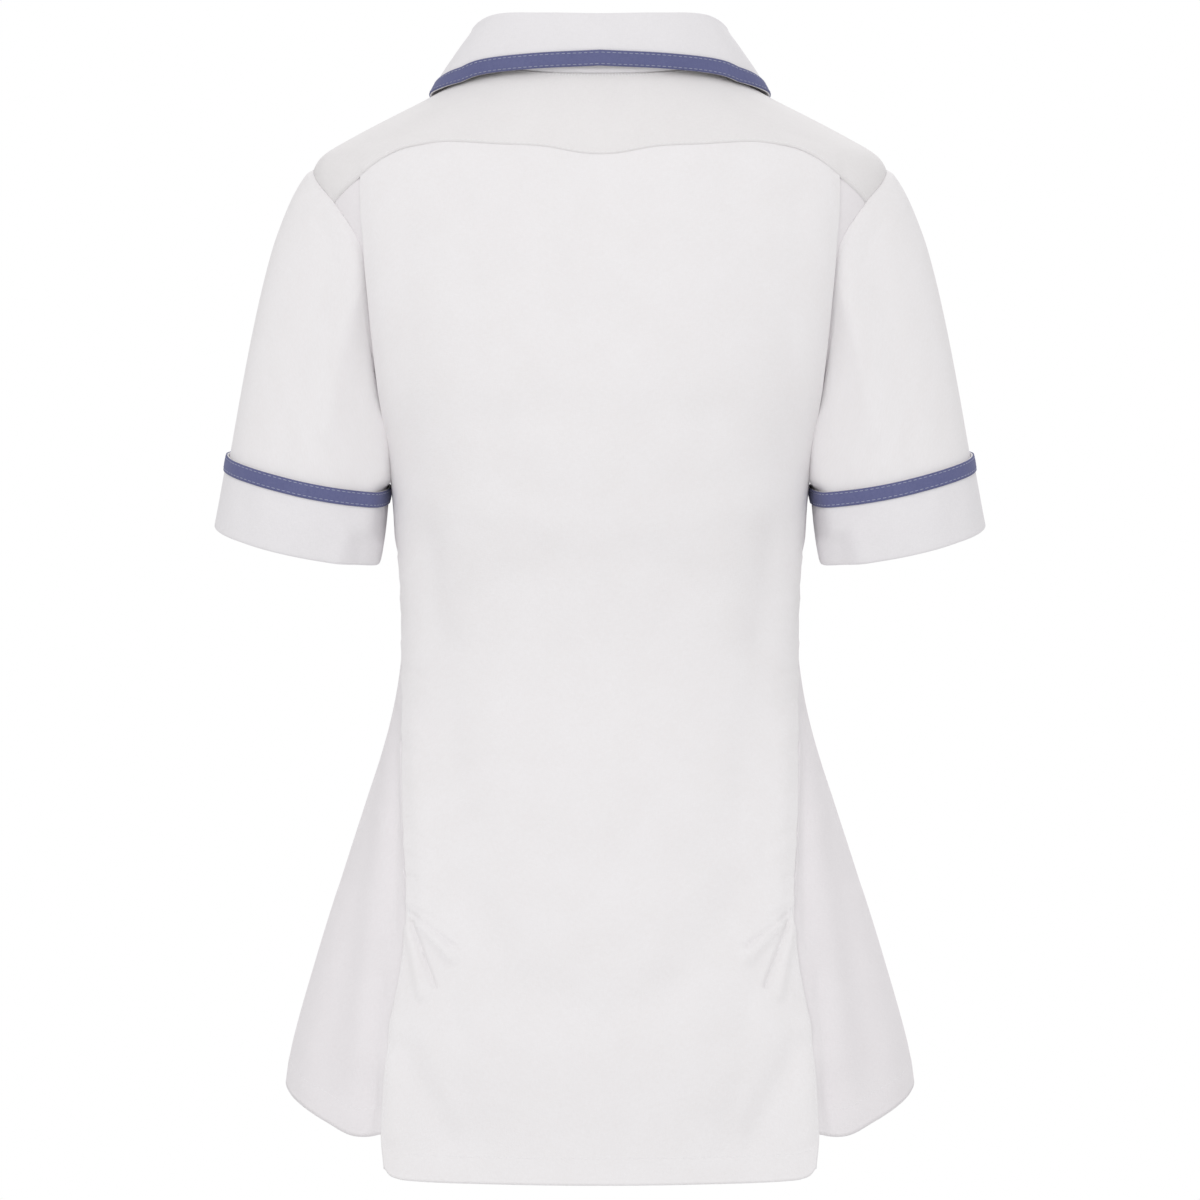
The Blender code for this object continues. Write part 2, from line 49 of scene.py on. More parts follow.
# Cloth, tape and thread
SHELL = 0.8
TAPE_SHELL = 0.7
THREAD = 0.42
STITCH = 2.6
STITCH_GAP = 1.0

# Layers of the action pleats and of what lies on a panel
CLOTH_OUT = 0.6
RETURN_OUT = 2.4
FOLD_OUT = 4.0
CUFF_OUT = 1.8
SEAM_LAP = 3.0
SEAM_LIFT = 0.5
# How far from the fold the back's cloth starts and ends its rise onto the pleat
RISE_START = 52.0
RISE_END = 10.0
PLEAT_RETURN = 18.0
PLEAT_UNDERLAY = 28.0

CUFF_DEPTH = 47.0
CUFF_TAPE = 10.0
COLLAR_TAPE = 10.0
COLLAR_END = 0.97
FRONT_OVERLAP = 15.0
OVERLAP_DROP = 1.05

HEM_CENTRE = np.array((198.0, -4.0, -289.0))
SLEEVE_AXIS = np.array((0.205, -0.17, -0.965))
SLEEVE_AXIS = SLEEVE_AXIS / np.linalg.norm(SLEEVE_AXIS)
HEM_HALF_ACROSS = 53.5
HEM_HALF_DEEP = 49.0
# The sleeve's mean girth and length, which give its troughs and ridges their real size
SLEEVE_GIRTH = 320.0
SLEEVE_LENGTH = 190.0
SLEEVE_OUT = 2.2
SEWN_DEPTH = 6.0
CUFF_TURN_RADIUS = 1.7
CUFF_TURN_IN = 14.0

BODY_COLUMNS = ("z", "half_width", "back", "front", "squareness")
BODY = np.array((
    (-700, 211, 136, 142, 2.2),
    (-642, 204.2, 131, 137, 2.2),
    (-616, 200, 128, 134, 2.2),
    (-563, 185.1, 119, 128, 2.2),
    (-511, 168.8, 108, 121, 2.2),
    (-458, 151.7, 97, 113, 2.2),
    (-432, 143.2, 91.5, 109, 2.2),
    (-406, 136, 86, 105, 2.2),
    (-380, 130.9, 82, 102, 2.2),
    (-354, 128.3, 81, 101.5, 2.2),
    (-327, 128.3, 84, 105, 2.2),
    (-290, 130.6, 92, 116, 2.2),
    (-260, 132.5, 98, 123, 2.2),
    (-235, 136, 102, 126, 2.2),
    (-215, 141, 104, 126, 2.2),
    (-190, 150, 105, 123, 2.2),
    (-150, 160, 102, 113, 2.2),
    (-100, 172, 94, 98, 2.2),
    (-71, 182, 87, 89, 2.2),
    (-50, 187, 82, 81, 2.2),
    (-38, 181, 78, 76, 2.2),
    (-26, 161.5, 74, 70, 2.15),
    (-13, 137, 69, 64, 2.1),
    (0, 111.5, 63, 57, 2.1),
    (12, 91.5, 57, 49, 2.05),
    (26, 69, 47, 40, 2),
))

# The armhole, as turn round the figure in degrees from centre back and height.
ARMHOLE = (
    (90, -215),
    (80, -206),
    (73.5, -190),
    (67.6, -153),
    (62.3, -100),
    (69, -70.5),
    (80, -53.5),
    (90, -46),
    (103, -52),
    (114, -71),
    (121, -100),
    (121, -153),
    (109, -190),
    (99, -206),
)
YOKE_END_BACK = 5
YOKE_END_FRONT = 8

# Seams of the back, as distance from the centre line and height.
YOKE_SEAM = ((0, -41.7), (37, -36.4), (66, -34.8), (99, -32.8), (119.5, -35.4), (129.4, -38.4),
             (154, -54.2), (171.3, -69.6))
FOLD_LINE = ((152.5, -54.2), (149.5, -104), (144.5, -153), (140, -192), (134, -231),
             (129.8, -268), (126.6, -327), (125.6, -354), (125.2, -380), (124.4, -426),
             (122.8, -491), (121.6, -529), (124.6, -560), (131, -595), (135.5, -631),
             (138, -672), (136.5, -690))
TAIL_HEM = ((-1, -690), (-0.97, -694.6), (-0.9, -696.9), (-0.5, -697.8), (0, -698.2), (0.5, -697.8),
            (0.9, -696.9), (0.97, -694.6), (1, -690))
NECK_BACK = ((0, 12.4), (30, 13.2), (52, 15.6), (66, 19), (73, 22.6))
NECK_FRONT = ((73, 22.6), (73.5, 17), (70, 2), (60, -22), (45, -48), (27, -70),
              (10, -86))
YOKE_FRONT_NECK_Z = 12.0

# Side hem, as turn in degrees and height.
SIDE_HEM = ((30, -683), (45, -673), (60, -660), (75, -649), (90, -641.5), (115, -644),
            (145, -652), (180, -656))

# Collar, from the centre back round to its front end.
COLLAR_COLUMNS = ("neck", "roll_x", "roll_y", "roll_z", "edge_x", "edge_y", "edge_z")
COLLAR = np.array((
    (0.00, 0, 57, 50.9, 0, 62, 17.3),
    (0.14, 38, 52.5, 51.8, 44, 55.5, 15.6),
    (0.28, 67, 37, 52.2, 78, 39.5, 12.9),
    (0.38, 81, 15, 46.5, 96, 24, 7),
    (0.47, 82, -8, 38.5, 109, 6, 4),
    (0.58, 75, -34, 23, 109.5, -26, -2),
    (0.70, 62, -57, 2, 102, -58, -25),
    (0.84, 43, -78, -28, 84, -84, -70),
    (0.99, 18, -94, -68, 57, -104, -122),
))

# Soft troughs and ridges, on the half at +X and mirrored.
BACK_RELIEF = (
    # x0, z0, x1, z1, half width, height
    (34, -205, 66, -214, 17, -2.2),
    (0, -150, 0, -215, 16, -1.2),
    (88, -62, 96, -120, 16, -1),
    (30, -280, 112, -262, 13, 1.3),
    (113, -290, 104, -352, 14, -3.6),
    (18, -300, 84, -322, 14, -1.6),
    (104, -392, 88, -470, 15, -1.4),
    (118, -410, 112, -520, 7, 1.2),
    (0, -590, 48, -572, 15, -2.8),
    (48, -572, 90, -515, 16, -2.4),
    (0, -535, 50, -520, 18, 1.4),
    (0, -684, 92, -681, 46, -7),
    (125, -616, 100, -668, 11, -4.2),
    (88, -636, 80, -676, 8, -1.4),
    (60, -610, 68, -645, 12, 1.4),
    (129, -600, 132, -668, 6, 1.8),
    (118, -530, 94, -548, 1.8, -2),
    (112, -536, 94, -556, 4, 2.8),
    (119, -534, 105, -574, 1.8, -2.6),
    (120, -540, 112, -580, 3.6, 2.4),
    (100, -566, 92, -600, 7, -1),
)

# Puckers that the stitching inside each fold draws into the back's edge
PUCKERS = 17
PUCKER_TOP = -300.0
PUCKER_STEP = -13.6

HEM_DEPTH = 17.0
HEM_STEP = 0.35
HEM_STEP_RUN = 1.6
SIDE_LENGTH = 610.0
FRONT_LENGTH = 600.0
SIDE_RELIEF = (
    (150, -440, 176, -640, 10, -2.2),
    (140, -470, 158, -660, 8, 1.8),
    (168, -520, 190, -640, 8, 1.6),
    (133, -400, 131, -545, 4.5, -2.2),
    (139, -570, 145, -650, 4, -1.6),
    (138, -646, 140, -680, 24, -8),
)
# The sides' fuller part under the arms, which the sleeves lie against
UNDERARM = ((133.5, -253, 132, -284, 14, 2.6),)
# The pleat's inner edge, which rolls out beside the fold above the vent
PLEAT_ROLL = ((127.5, -420, 123, -520, 1.9, 2.6),)
FRONT_RELIEF = (
    (96, -150, 60, -205, 15, -1.5),
    (112, -262, 84, -350, 15, -2.2),
    (14, -320, 78, -334, 12, -1.2),
    (104, -400, 88, -500, 15, -1.4),
    (60, -470, 76, -620, 15, -2),
    (30, -520, 40, -640, 12, 1.4),
    (120, -500, 146, -640, 14, -1.8),
    (126, -120, 112, -176, 9, -1.2),
)
SLEEVE_RELIEF = (
    # share round the sleeve, share down, share round, share down, half width in mm, height
    (0.20, 0.10, 0.15, 0.62, 10, -0.7),
    (0.27, 0.05, 0.24, 0.55, 8, 1.6),
    (0.34, 0.12, 0.30, 0.80, 10, -1.4),
    (0.085, 0.24, 0.105, 0.80, 9, 1.8),
    (0.44, 0.30, 0.40, 0.90, 12, 0.9),
    (0.70, 0.10, 0.78, 0.62, 9, -2.2),
    (0.63, 0.10, 0.66, 0.70, 9, 1.3),
    (0.88, 0.30, 0.86, 0.80, 8, -1.4),
    (0.155, 0.84, 0.160, 1.00, 6, 1.3),
    (0.112, 0.84, 0.108, 1.00, 6, -1.1),
    (0.050, 0.86, 0.050, 1.00, 8, 2.2),
    (0.360, 0.88, 0.355, 1.00, 8, -0.8),
    (0.265, 0.02, 0.270, 0.14, 4, -0.9),
    (0.315, 0.02, 0.325, 0.12, 4, 0.8),
    (0.375, 0.02, 0.385, 0.11, 4, -0.8),
    (0.435, 0.02, 0.445, 0.13, 4.5, 0.7),
    (0.615, 0.02, 0.610, 0.13, 4.5, -0.8),
    (0.000, 0.40, 0.000, 0.46, 15, 1.2),
    (1.000, 0.40, 1.000, 0.46, 15, 1.2),
)


# Form: the same functions as the part's source, worked out for whole grids at once


def cubic(start, slope_start, end, slope_end, share):
    """A cubic from start to end, with its slopes there given over the whole span."""
    square = share * share
    cube = square * share
    return (
        (2 * cube - 3 * square + 1) * start
        + (cube - 2 * square + share) * slope_start
        + (3 * square - 2 * cube) * end
        + (cube - square) * slope_end
    )


def between(rows, at, value, column=0):
    """A cubic through the rows, with slopes taken from the rows on both sides."""
    rows = np.asarray(rows, dtype=float)
    at = np.asarray(at, dtype=float)
    last = len(rows) - 1
    low = np.clip(np.searchsorted(rows[:, column], at, side="left") - 1, 0, last - 1)
    before = rows[np.maximum(low - 1, 0)]
    start = rows[low]
    end = rows[low + 1]
    after = rows[np.minimum(low + 2, last)]
    span = end[..., column] - start[..., column]
    share = np.clip((at - start[..., column]) / span, -0.5, 1.5)
    slope_start = (end[..., value] - before[..., value]) / (end[..., column] - before[..., column]) * span
    slope_end = (after[..., value] - start[..., value]) / (after[..., column] - start[..., column]) * span
    return cubic(start[..., value], slope_start, end[..., value], slope_end, share)


def of_body(column, z):
    return between(BODY, z, BODY_COLUMNS.index(column))


def smooth_step(share):
    share = np.clip(share, 0.0, 1.0)
    return share * share * (3 - 2 * share)


def signed_power(value, power):
    return np.sign(value) * np.abs(value) ** power


def unit(vectors):
    return vectors / np.maximum(np.linalg.norm(vectors, axis=-1, keepdims=True), 1e-9)


def figure(turn, z):
    """The figure's surface: turn in radians from centre back toward +X."""
    turn, z = np.broadcast_arrays(np.asarray(turn, dtype=float), np.asarray(z, dtype=float))
    power = 2.0 / of_body("squareness", z)
    depth = np.where(np.cos(turn) > 0, of_body("back", z), of_body("front", z))
    return np.stack((
        of_body("half_width", z) * signed_power(np.sin(turn), power),
        depth * signed_power(np.cos(turn), power),
        z,
    ), axis=-1)


def outward(turn, z):
    across = figure(turn + TURN_STEP, z) - figure(turn - TURN_STEP, z)
    up = figure(turn, z + 1.0) - figure(turn, z - 1.0)
    return unit(np.cross(up, across))


def on_figure(turn, z, out):
    return figure(turn, z) + outward(turn, z) * np.asarray(out)[..., None]


def beyond_body(point):
    """How far points are beyond the figure, as a share of its size there."""
    z = np.minimum(point[..., 2], BODY[-1][0])
    half = of_body("half_width", z)
    depth = np.where(point[..., 1] > 0, of_body("back", z), of_body("front", z))
    power = of_body("squareness", z)
    across = np.abs(point[..., 0] / half) ** power
    deep = np.abs(point[..., 1] / depth) ** power
    return (across + deep) ** (1 / power) - 1


def off_body(point):
    """How far points are off the figure, and the way straight out from it."""
    here = beyond_body(point)
    slope = np.stack([
        (beyond_body(point + step) - here) * 2.0
        for step in (np.array((0.5, 0.0, 0.0)), np.array((0.0, 0.5, 0.0)), np.array((0.0, 0.0, 0.5)))
    ], axis=-1)
    size = np.linalg.norm(slope, axis=-1)
    return here / size, slope / size[..., None]


def turn_at(x, z, front=False):
    x = np.asarray(x, dtype=float)
    ratio = np.minimum(np.abs(x) / of_body("half_width", z), 1.0)
    turn = np.arcsin(ratio ** (of_body("squareness", z) / 2.0))
    if front:
        turn = math.pi - turn
    return np.where(x < 0, -turn, turn)


class Line:
    """A smooth line on the figure through (turn, z) points, run along by its length."""

    def __init__(self, points):
        points = np.asarray(points, dtype=float)
        places = figure(points[:, 0], points[:, 1])
        steps = np.maximum(np.linalg.norm(np.diff(places, axis=0), axis=1), 0.01)
        lengths = np.concatenate(([0.0], np.cumsum(steps)))
        self.total = lengths[-1]
        self.rows = np.column_stack((lengths / self.total, points))

    def at(self, share):
        return np.stack((between(self.rows, share, 1), between(self.rows, share, 2)), axis=-1)


class Chain:
    """Lines that meet at corners, each with its share of the whole."""

    def __init__(self, *parts):
        self.parts = parts

    def at(self, share):
        share = np.asarray(share, dtype=float)
        start = 0.0
        result = None
        for line, part in self.parts:
            here = line.at(np.clip((share - start) / part, 0.0, 1.0))
            if result is None:
                result = here
            else:
                result = np.where((share > start)[..., None], here, result)
            start += part
        return result


class Piece:
    """A part of another line, from one share of it to another."""

    def __init__(self, line, start, end):
        self.line = line
        self.start = start
        self.end = end

    def at(self, share):
        return self.line.at(self.start + (self.end - self.start) * np.asarray(share, dtype=float))


def half_of(points):
    """The +X half of a line that is level where it crosses centre back."""
    both = [(-turn, z) for turn, z in reversed(points[1:])] + list(points)
    return Piece(Line(both), 0.5, 1.0)


def patch(top, bottom, left, right, u, v):
    """Coons patch of four lines on the figure: u across, v down."""
    u, v = np.broadcast_arrays(u, v)
    across = u[..., None]
    down = v[..., None]
    ruled = (1 - down) * top.at(u) + down * bottom.at(u)
    ruled = ruled + (1 - across) * left.at(v) + across * right.at(v)
    ruled = ruled - (1 - down) * ((1 - across) * top.at(0.0) + across * top.at(1.0))
    ruled = ruled - down * ((1 - across) * bottom.at(0.0) + across * bottom.at(1.0))
    return ruled[..., 0], ruled[..., 1]


def side_hem(turn):
    rows = [(math.radians(degrees), z) for degrees, z in SIDE_HEM]
    return between(rows, turn, 1)


def points_at(rows, front=False):
    return [(float(turn_at(x, z, front)), z) for x, z in rows]


ARM_LOOP = Line([(math.radians(turn), z) for turn, z in (*ARMHOLE, ARMHOLE[0])])
ARM_BACK = ARM_LOOP.rows[YOKE_END_BACK][0]
ARM_FRONT = ARM_LOOP.rows[YOKE_END_FRONT][0]
NECK_POINTS = points_at(NECK_BACK[:-1])
NECK_POINTS.append((math.pi / 2, NECK_BACK[-1][1]))
NECK_POINTS += points_at(NECK_FRONT[1:], front=True)
NECK = half_of(NECK_POINTS)
NECK_SHARES = np.linspace(0.45, 1.0, 400)
NECK_AT_YOKE = NECK_SHARES[np.argmin(np.abs(NECK.at(NECK_SHARES)[:, 1] - YOKE_FRONT_NECK_Z))]


def relief(rows, x, z):
    """Height of the soft troughs and ridges at places seen from the back or front."""
    x = np.abs(x)
    total = np.zeros(np.broadcast(x, z).shape)
    for x0, z0, x1, z1, half, height in rows:
        length = math.hypot(x1 - x0, z1 - z0)
        along = ((x1 - x0) / length, (z1 - z0) / length)
        run = (x - x0) * along[0] + (z - z0) * along[1]
        beyond = run - np.clip(run, 0.0, length)
        aside = (x - x0) * along[1] - (z - z0) * along[0]
        total = total + height * np.exp(-(aside ** 2 + beyond ** 2) / half ** 2)
    return total


def hem_step(above):
    """The small rise of a hem's doubled cloth, at a distance in millimetres past its upper edge."""
    return HEM_STEP * smooth_step(above / HEM_STEP_RUN)


# Meshes


def smooth_object(name, mesh, material):
    mesh.polygons.foreach_set("use_smooth", [True] * len(mesh.polygons))
    mesh.materials.append(material)
    piece = bpy.data.objects.new(name, mesh)
    bpy.context.scene.collection.objects.link(piece)
    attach(piece, "root")
    return piece


def shell(name, points, material, thick=SHELL, closed=False):
    """A thin cloth wall on a grid of places in millimetres, rows by columns by 3."""
    cloth = cloth_lengths(points)
    rows, columns = points.shape[:2]
    used = columns - 1 if closed else columns
    flat = points[:, :used].reshape(-1, 3) * MM
    row = np.arange(rows - 1)[:, None]
    column = np.arange(columns - 1)[None, :]
    nearby = (column + 1) % used if closed else column + 1
    faces = np.stack((
        row * used + column,
        row * used + nearby,
        (row + 1) * used + nearby,
        (row + 1) * used + column,
    ), axis=-1).reshape(-1, 4)
    mesh = bpy.data.meshes.new(name)
    mesh.from_pydata(flat.tolist(), [], faces.tolist())
    layer = mesh.uv_layers.new(name="cloth")
    corner_u = np.stack((column, column + 1, column + 1, column), axis=-1)
    corner_u = np.broadcast_to(corner_u, (rows - 1, columns - 1, 4))
    corner_v = np.stack((row, row, row + 1, row + 1), axis=-1)
    corner_v = np.broadcast_to(corner_v, (rows - 1, columns - 1, 4))
    uv = cloth[corner_v, corner_u] * MM
    layer.data.foreach_set("uv", uv.reshape(-1).astype(np.float32))
    mesh.validate()
    piece = smooth_object(name, mesh, material)
    wall = piece.modifiers.new("wall", "SOLIDIFY")
    wall.thickness = thick * MM
    wall.offset = 0.0
    wall.use_even_offset = True
    return piece


def cloth_lengths(points):
    """Millimetres along a grid's rows from its middle column, and down its columns from the first row."""
    across = np.linalg.norm(np.diff(points, axis=1), axis=2)
    across = np.concatenate((np.zeros((len(points), 1)), np.cumsum(across, axis=1)), axis=1)
    across = across - across[:, [across.shape[1] // 2]]
    down = np.linalg.norm(np.diff(points, axis=0), axis=2)
    down = np.concatenate((np.zeros((1, points.shape[1])), np.cumsum(down, axis=0)), axis=0)
    return np.stack((across, -down), axis=-1)


def stitches(name, lines, material):
    """Small rounded stitches laid end to end along lines of places with their normals."""
    # each ring's place along half the stitch, and its size
    rings = ((-1.0, 0.15), (-0.55, 0.85), (0.55, 0.85), (1.0, 0.15))
    radius = THREAD / 2
    sides = 6
    angles = np.arange(sides) / sides * 2 * math.pi
    verts = []
    faces = []
    for places, normals in lines:
        steps = np.linalg.norm(np.diff(places, axis=0), axis=1)
        run = np.concatenate(([0.0], np.cumsum(steps)))
        count = max(int(run[-1] / (STITCH + STITCH_GAP)), 1)
        starts = (np.arange(count) + 0.5) * run[-1] / count
        for middle in starts:
            ends = (middle - STITCH / 2, middle, middle + STITCH / 2)
            place = np.array([[np.interp(end, run, places[:, axis]) for axis in range(3)] for end in ends])
            normal = unit(np.array([np.interp(middle, run, normals[:, axis]) for axis in range(3)]))
            along = unit(place[2] - place[0])
            aside = unit(np.cross(along, normal))
            base = len(verts)
            for share, size in rings:
                centre = place[1] + along * share * STITCH / 2 + normal * radius * 0.35
                for angle in angles:
                    ring = aside * math.cos(angle) + normal * math.sin(angle) * 0.8
                    verts.append(centre + ring * radius * size)
            for ring in range(len(rings) - 1):
                for side in range(sides):
                    here = base + ring * sides + side
                    there = base + ring * sides + (side + 1) % sides
                    faces.append((here, there, there + sides, here + sides))
            faces.append([base + side for side in reversed(range(sides))])
            faces.append([base + (len(rings) - 1) * sides + side for side in range(sides)])
    mesh = bpy.data.meshes.new(name)
    mesh.from_pydata((np.array(verts) * MM).tolist(), [], faces)
    return smooth_object(name, mesh, material)


def mirror(points, side):
    return points * np.array((side, 1.0, 1.0))


def whole(half):
    """Both halves of a piece that crosses centre back, from its +X half."""
    return np.concatenate((mirror(half[:, :0:-1], -1.0), half), axis=1)


def on_cloth(surface, side=1.0):
    """A line of places with their normals, moved out to the cloth's outer face, on either side."""
    place, normal = surface
    return mirror(place + normal * SHELL / 2, side), mirror(normal, side)


# Materials


def node(tree, kind, **inputs):
    made = tree.nodes.new(kind)
    for name, value in inputs.items():
        made.inputs[name].default_value = value
    return made


def woven(name, colour, shade, roughness=0.88, thread=0.5, bump=0.35, sheen=0.08):
    """Plain-weave cloth in cloth coordinates in metres: threads, slubs and a slightly uneven colour."""
    material = bpy.data.materials.new(name)
    material.use_nodes = True
    tree = material.node_tree
    link = tree.links.new
    shader = tree.nodes["Principled BSDF"]
    shader.inputs["Roughness"].default_value = roughness
    shader.inputs["Sheen Weight"].default_value = sheen
    shader.inputs["Sheen Roughness"].default_value = 0.5
    shader.inputs["Specular IOR Level"].default_value = 0.25
    cloth = tree.nodes.new("ShaderNodeUVMap")
    cloth.uv_map = "cloth"

    def noise(across, down, detail):
        place = node(tree, "ShaderNodeMapping", Scale=(across, down, 1.0))
        link(cloth.outputs["UV"], place.inputs["Vector"])
        made = node(tree, "ShaderNodeTexNoise", Scale=1.0, Detail=detail, Roughness=0.6)
        link(place.outputs["Vector"], made.inputs["Vector"])
        return made

    def threads(direction):
        waves = 2 * math.pi / (20 * thread * MM)
        made = node(tree, "ShaderNodeTexWave", Scale=waves, Distortion=0.6, Detail=1.0)
        made.bands_direction = direction
        link(cloth.outputs["UV"], made.inputs["Vector"])
        return made

    def math_node(operation, one, two):
        made = tree.nodes.new("ShaderNodeMath")
        made.operation = operation
        link(one, made.inputs[0])
        if isinstance(two, float):
            made.inputs[1].default_value = two
        else:
            link(two, made.inputs[1])
        return made.outputs[0]

    weft_slub = noise(260.0, 1500.0, 2.0)
    warp_slub = noise(1500.0, 260.0, 2.0)
    mottle = noise(420.0, 420.0, 4.0)
    cloud = noise(28.0, 28.0, 2.0)
    weave = math_node("MAXIMUM", threads("X").outputs["Fac"], threads("Y").outputs["Fac"])
    slubs = math_node("ADD", weft_slub.outputs["Fac"], warp_slub.outputs["Fac"])
    slubs = math_node("ADD", slubs, mottle.outputs["Fac"])
    height = math_node("MULTIPLY", slubs, 1.6)
    height = math_node("ADD", height, weave)
    tone = math_node("MULTIPLY", slubs, 0.333)
    tone = math_node("ADD", tone, math_node("MULTIPLY", cloud.outputs["Fac"], 0.35))
    ramp = tree.nodes.new("ShaderNodeValToRGB")
    ramp.color_ramp.elements[0].position = 0.42
    ramp.color_ramp.elements[0].color = (*shade, 1.0)
    ramp.color_ramp.elements[1].position = 0.92
    ramp.color_ramp.elements[1].color = (*colour, 1.0)
    link(tone, ramp.inputs["Fac"])
    link(ramp.outputs["Color"], shader.inputs["Base Color"])
    relief_node = node(tree, "ShaderNodeBump", Strength=bump, Distance=0.00012)
    link(height, relief_node.inputs["Height"])
    link(relief_node.outputs["Normal"], shader.inputs["Normal"])
    return material


def plain(name, colour, roughness):
    """Twisted thread, or the floor: a slight unevenness of colour in object space."""
    material = bpy.data.materials.new(name)
    material.use_nodes = True
    tree = material.node_tree
    shader = tree.nodes["Principled BSDF"]
    shader.inputs["Roughness"].default_value = roughness
    coordinates = tree.nodes.new("ShaderNodeTexCoord")
    made = node(tree, "ShaderNodeTexNoise", Scale=900.0, Detail=1.0)
    tree.links.new(coordinates.outputs["Object"], made.inputs["Vector"])
    ramp = tree.nodes.new("ShaderNodeValToRGB")
    ramp.color_ramp.elements[0].color = (*[value * 0.93 for value in colour], 1.0)
    ramp.color_ramp.elements[1].color = (*colour, 1.0)
    tree.links.new(made.outputs["Fac"], ramp.inputs["Fac"])
    tree.links.new(ramp.outputs["Color"], shader.inputs["Base Color"])
    return material


WHITE = woven("white_weave", (0.884, 0.868, 0.882), (0.828, 0.804, 0.808))
# painted shade: the side backs (pleat underlay and flares) take a darker copy of the same white cloth for
# the shade beside and under the folds
WHITE_SIDE_PAINTED_SHADE = woven("white_weave_side_painted_shade", (0.870, 0.842, 0.860), (0.810, 0.780, 0.798))
# painted shade: the yoke takes a darker, warmer copy of the same white cloth, against the light from above
# that falls on it
WHITE_YOKE_PAINTED_SHADE = woven("white_weave_yoke_painted_shade", (0.852, 0.832, 0.836), (0.792, 0.770, 0.772))
# painted shade: the collar and the cuffs take a darker copy of the same white cloth for the shade they
# show
WHITE_TRIM_PAINTED_SHADE = woven("white_weave_trim_painted_shade", (0.846, 0.829, 0.850), (0.786, 0.768, 0.786))
BLUE = woven("blue_tape_weave", (0.150, 0.160, 0.310), (0.105, 0.115, 0.245),
             roughness=0.85, thread=0.6, bump=0.6, sheen=0.10)
THREAD_WHITE = plain("white_thread", (0.93, 0.92, 0.93), 0.6)
THREAD_PALE = plain("pale_thread", (0.42, 0.44, 0.56), 0.7)
FLOOR = plain("pale_floor", (0.90, 0.90, 0.90), 0.9)


# Centre back with its two folded pleat edges and the tail

FOLD_ROWS = [(-z, x) for x, z in FOLD_LINE]


def near_seam(v):
    """1 at the yoke seam, where the pleat's layers are sewn flat, down to 0."""
    return 1.0 - smooth_step(np.asarray(v) / 0.10)


def fold_out(v):
    return FOLD_OUT - 1.6 * near_seam(v)


def return_out(v):
    return RETURN_OUT - 0.9 * near_seam(v)


def rise_to_fold(distance, v):
    rise = smooth_step((RISE_START - distance) / (RISE_START - RISE_END))
    return CLOTH_OUT + (fold_out(v) - CLOTH_OUT) * rise


def back_relief(x, z):
    """The back's troughs and ridges with the small puckers beside its folds."""
    total = relief(BACK_RELIEF, x, z)
    for index in range(PUCKERS):
        wave = math.sin(index * 2.4)
        top = PUCKER_TOP + PUCKER_STEP * (index + 0.3 * math.sin(index * 1.7))
        edge = float(between(FOLD_ROWS, -top, 1))
        reach = 11.0 + 5.0 * wave
        height = 0.55 * (-1) ** index + 0.2 * wave
        row = (edge, top, edge - reach, top - 4.0 - 3.0 * wave, 2.2 + 0.5 * wave, height)
        total = total + relief((row,), x, z)
    return total


class BackPanel:
    """The centre back on the figure, from the yoke seam to the tail hem between its two folds."""

    def __init__(self):
        top_points = points_at(YOKE_SEAM[:6])
        top_x, top_z = FOLD_LINE[0]
        top_points.append((float(turn_at(top_x, top_z)), top_z))
        top_points = [(turn, z + SEAM_LAP) for turn, z in top_points]
        mirrored = [(-turn, z) for turn, z in reversed(top_points[1:])]
        self.top = Line(mirrored + top_points)
        last_x = FOLD_LINE[-1][0]
        self.bottom = Line([(float(turn_at(share * last_x, z)), z) for share, z in TAIL_HEM])
        fold = points_at(FOLD_LINE)
        fold[0] = tuple(self.top.at(1.0))
        self.fold = Line(fold)
        self.other_fold = Line([(-turn, z) for turn, z in fold])
        self.shares = np.linspace(0.0, 1.0, 61)
        flat = np.linspace(0.0, 1.0, 13)[:, None]
        places = figure(*self.at(flat, self.shares[None, :]))
        widths = np.linalg.norm(np.diff(places, axis=0), axis=2).sum(axis=0)
        self.widths = np.column_stack((self.shares, widths))
        self.hem_line = 1.0 - HEM_DEPTH / self.fold.total

    def at(self, flat, v):
        return patch(self.top, self.bottom, self.other_fold, self.fold, 0.5 + np.asarray(flat) / 2, v)

    def width(self, v):
        return between(self.widths, v, 1)

    def from_fold(self, distance, v):
        return self.at(1.0 - distance / self.width(v), v)

    def cloth(self, distance, v):
        """The cloth's place and normal at a distance in from the fold."""
        turn, z = self.from_fold(distance, v)
        place = figure(turn, z)
        out = rise_to_fold(distance, v) + back_relief(place[..., 0], z)
        out = out + hem_step((v - self.hem_line) * self.fold.total)
        normal = outward(turn, z)
        return place + normal * out[..., None], normal


BACK = BackPanel()


